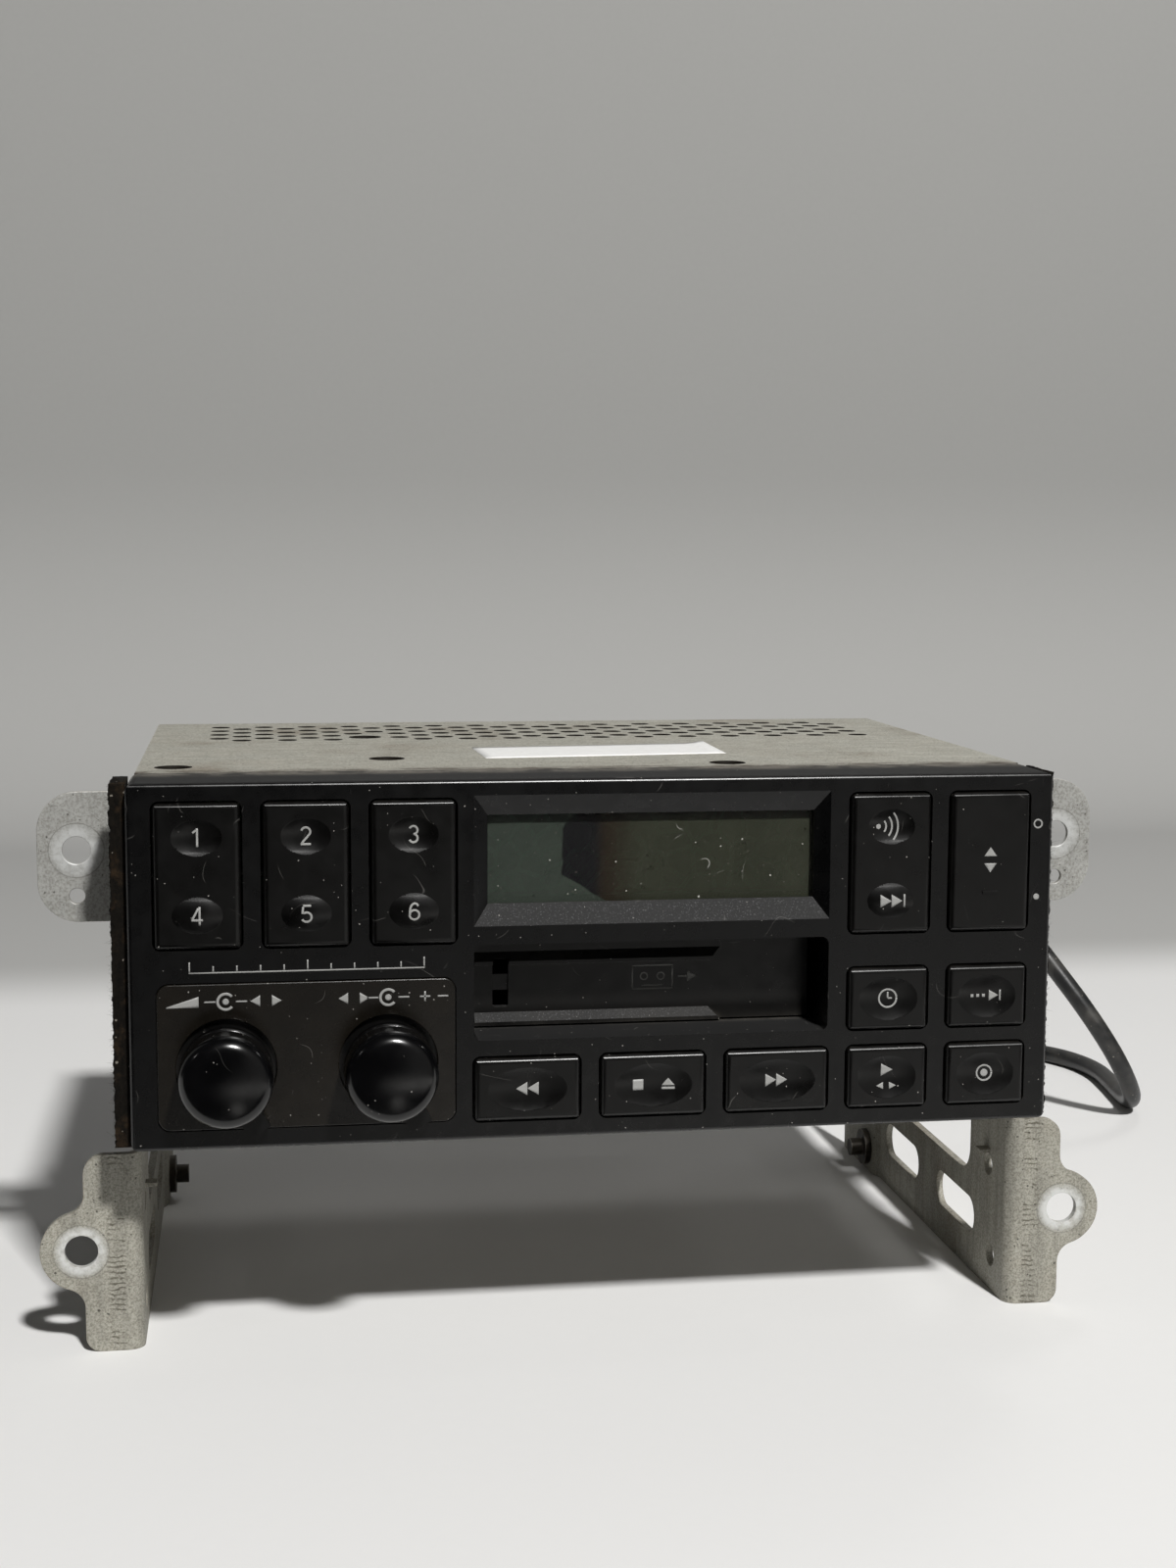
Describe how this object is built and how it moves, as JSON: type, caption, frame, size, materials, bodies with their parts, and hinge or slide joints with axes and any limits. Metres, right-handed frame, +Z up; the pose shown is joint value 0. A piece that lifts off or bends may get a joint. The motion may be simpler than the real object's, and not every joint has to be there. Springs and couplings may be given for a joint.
{
  "type": "car cassette player",
  "caption": "Car radio and cassette player with rocker and push keys, two knobs, a tape slot with a hinged door, and sheet-metal dash brackets that it stands on.",
  "frame": {"origin": "on the floor under the brackets, midway across and midway from the knob fronts to the arm ends", "axes": "+X to the right across the face, +Y from the face to the back, +Z up"},
  "size_m": [0.2938, 0.2467, 0.115],
  "materials": {
    "face": "satin black",
    "key": "satin brown-black",
    "knob": "glossy black",
    "plate": "brown-grey matte",
    "lens": "clear",
    "display": "grey-green",
    "sheet": "dull galvanised",
    "zinc": "streaked zinc",
    "steel": "bright",
    "dark_steel": "dark passivated",
    "brass": "turned",
    "board": "green lacquer",
    "nylon": "natural",
    "switch": "dark",
    "rubber": "matte black",
    "felt": "brown-black felt",
    "aluminium": "extruded"
  },
  "bodies": {
    "player": {"front_panel": "face", "knob_plate": "plate", "display_lens": "lens", "display_module": "display", "volume_control": "steel", "tone_control": "steel", "door_pin": "steel", "front_board": "board", "push_switches": "switch", "small_screws": "steel", "chassis": "sheet", "top_cover": "sheet", "bottom_cover": "sheet", "left_bracket": "zinc", "right_bracket": "zinc", "locating_studs": "dark_steel", "left_ear": "zinc", "right_ear": "zinc", "side_screws": "steel", "felt_strips": "felt", "deck_frame": "sheet", "deck_motor": "steel", "drive_belt": "rubber", "main_board": "board", "tuner_can": "sheet", "heat_sink": "aluminium", "rear_socket": "nylon", "aerial_gland": "rubber", "aerial_lead": "rubber", "aerial_socket": "steel"},
    "preset_rocker_1": {"preset_rocker_1": "key"},
    "preset_rocker_2": {"preset_rocker_2": "key"},
    "preset_rocker_3": {"preset_rocker_3": "key"},
    "band_rocker": {"band_rocker": "key"},
    "tune_rocker": {"tune_rocker": "key"},
    "rewind_key": {"rewind_key": "key"},
    "stop_key": {"stop_key": "key"},
    "forward_key": {"forward_key": "key"},
    "play_key": {"play_key": "key"},
    "clock_key": {"clock_key": "key"},
    "scan_key": {"scan_key": "key"},
    "memory_key": {"memory_key": "key"},
    "volume": {"volume_knob": "knob", "volume_shaft": "steel"},
    "fader": {"fader_ring": "knob"},
    "pull": {"pull_slider": "nylon"},
    "tone": {"tone_knob": "knob", "tone_shaft": "steel"},
    "balance": {"balance_ring": "knob"},
    "door": {"cassette_door": "face"},
    "carriage": {"cassette_carriage": "sheet"},
    "head": {"head_plate": "sheet", "tape_head": "steel"},
    "roller_front": {"pinch_roller_front": "rubber"},
    "roller_rear": {"pinch_roller_rear": "rubber"},
    "reel_front": {"reel_spindle_front": "nylon"},
    "reel_rear": {"reel_spindle_rear": "nylon"},
    "flywheel_front": {"flywheel_front": "brass"},
    "flywheel_rear": {"flywheel_rear": "brass"},
    "pulley": {"motor_pulley": "brass"}
  },
  "joints": [
    {"name": "preset_rocker_1_tilt", "type": "hinge", "parent": "player", "child": "preset_rocker_1", "pos_m": [-0.07695, -0.0576, 0.0975], "axis": [1, 0, 0], "range_deg": [-3, 3], "stiffness_Nm_per_rad": 0.3},
    {"name": "preset_rocker_2_tilt", "type": "hinge", "parent": "player", "child": "preset_rocker_2", "pos_m": [-0.05675, -0.0576, 0.0975], "axis": [1, 0, 0], "range_deg": [-3, 3], "stiffness_Nm_per_rad": 0.3},
    {"name": "preset_rocker_3_tilt", "type": "hinge", "parent": "player", "child": "preset_rocker_3", "pos_m": [-0.03655, -0.0576, 0.0975], "axis": [1, 0, 0], "range_deg": [-3, 3], "stiffness_Nm_per_rad": 0.3},
    {"name": "band_rocker_tilt", "type": "hinge", "parent": "player", "child": "band_rocker", "pos_m": [0.05675, -0.0576, 0.0975], "axis": [1, 0, 0], "range_deg": [-3, 3], "stiffness_Nm_per_rad": 0.3},
    {"name": "tune_rocker_tilt", "type": "hinge", "parent": "player", "child": "tune_rocker", "pos_m": [0.07695, -0.0576, 0.0975], "axis": [1, 0, 0], "range_deg": [-3, 3], "stiffness_Nm_per_rad": 0.3},
    {"name": "rewind_key_press", "type": "slide", "parent": "player", "child": "rewind_key", "axis": [0, 1, 0], "range_m": [0, 0.0012], "stiffness_N_per_m": 400},
    {"name": "stop_key_press", "type": "slide", "parent": "player", "child": "stop_key", "axis": [0, 1, 0], "range_m": [0, 0.0012], "stiffness_N_per_m": 400},
    {"name": "forward_key_press", "type": "slide", "parent": "player", "child": "forward_key", "axis": [0, 1, 0], "range_m": [0, 0.0012], "stiffness_N_per_m": 400},
    {"name": "play_key_press", "type": "slide", "parent": "player", "child": "play_key", "axis": [0, 1, 0], "range_m": [0, 0.0012], "stiffness_N_per_m": 400},
    {"name": "clock_key_press", "type": "slide", "parent": "player", "child": "clock_key", "axis": [0, 1, 0], "range_m": [0, 0.0012], "stiffness_N_per_m": 400},
    {"name": "scan_key_press", "type": "slide", "parent": "player", "child": "scan_key", "axis": [0, 1, 0], "range_m": [0, 0.0012], "stiffness_N_per_m": 400},
    {"name": "memory_key_press", "type": "slide", "parent": "player", "child": "memory_key", "axis": [0, 1, 0], "range_m": [0, 0.0012], "stiffness_N_per_m": 400},
    {"name": "volume_turn", "type": "hinge", "parent": "player", "child": "volume", "pos_m": [-0.072, -0.062, 0.06078], "axis": [0, 1, 0], "range_deg": [-150, 150]},
    {"name": "fader_turn", "type": "hinge", "parent": "player", "child": "fader", "pos_m": [-0.072, -0.062, 0.06078], "axis": [0, 1, 0], "range_deg": [-40, 40]},
    {"name": "tone_pull", "type": "slide", "parent": "player", "child": "pull", "axis": [0, -1, 0], "range_m": [0, 0.0025]},
    {"name": "tone_turn", "type": "hinge", "parent": "pull", "child": "tone", "pos_m": [-0.0415, -0.062, 0.06078], "axis": [0, 1, 0], "range_deg": [-150, 150]},
    {"name": "balance_turn", "type": "hinge", "parent": "player", "child": "balance", "pos_m": [-0.0415, -0.062, 0.06078], "axis": [0, 1, 0], "range_deg": [-40, 40]},
    {"name": "door_swing", "type": "hinge", "parent": "player", "child": "door", "pos_m": [0.0098, -0.04824, 0.08119], "axis": [1, 0, 0], "range_deg": [0, 82], "stiffness_Nm_per_rad": 0.01},
    {"name": "carriage_drop", "type": "slide", "parent": "player", "child": "carriage", "axis": [0, 0, -1], "range_m": [0, 0.005], "stiffness_N_per_m": 120, "springref_m": -0.008},
    {"name": "head_advance", "type": "slide", "parent": "player", "child": "head", "axis": [-1, 0, 0], "range_m": [0, 0.0079], "stiffness_N_per_m": 150},
    {"name": "roller_front_spin", "type": "hinge", "parent": "head", "child": "roller_front", "pos_m": [0.0491, -0.0208, 0.064], "axis": [0, 0, 1], "continuous": true},
    {"name": "roller_rear_spin", "type": "hinge", "parent": "head", "child": "roller_rear", "pos_m": [0.0491, 0.0392, 0.064], "axis": [0, 0, 1], "continuous": true},
    {"name": "reel_front_spin", "type": "hinge", "parent": "player", "child": "reel_front", "pos_m": [0.0069, -0.01205, 0.06], "axis": [0, 0, 1], "continuous": true},
    {"name": "reel_rear_spin", "type": "hinge", "parent": "player", "child": "reel_rear", "pos_m": [0.0069, 0.03045, 0.06], "axis": [0, 0, 1], "continuous": true},
    {"name": "flywheel_front_spin", "type": "hinge", "parent": "player", "child": "flywheel_front", "pos_m": [0.036, -0.0208, 0.052], "axis": [0, 0, 1], "continuous": true},
    {"name": "flywheel_rear_spin", "type": "hinge", "parent": "player", "child": "flywheel_rear", "pos_m": [0.036, 0.0392, 0.052], "axis": [0, 0, 1], "continuous": true},
    {"name": "pulley_spin", "type": "hinge", "parent": "player", "child": "pulley", "pos_m": [-0.0502, 0.0332, 0.052], "axis": [0, 0, 1], "continuous": true}
  ],
  "couplings": [
    {"joint": "flywheel_rear_spin", "follows": "flywheel_front_spin", "ratio": 1},
    {"joint": "pulley_spin", "follows": "flywheel_front_spin", "ratio": 3.6}
  ]
}
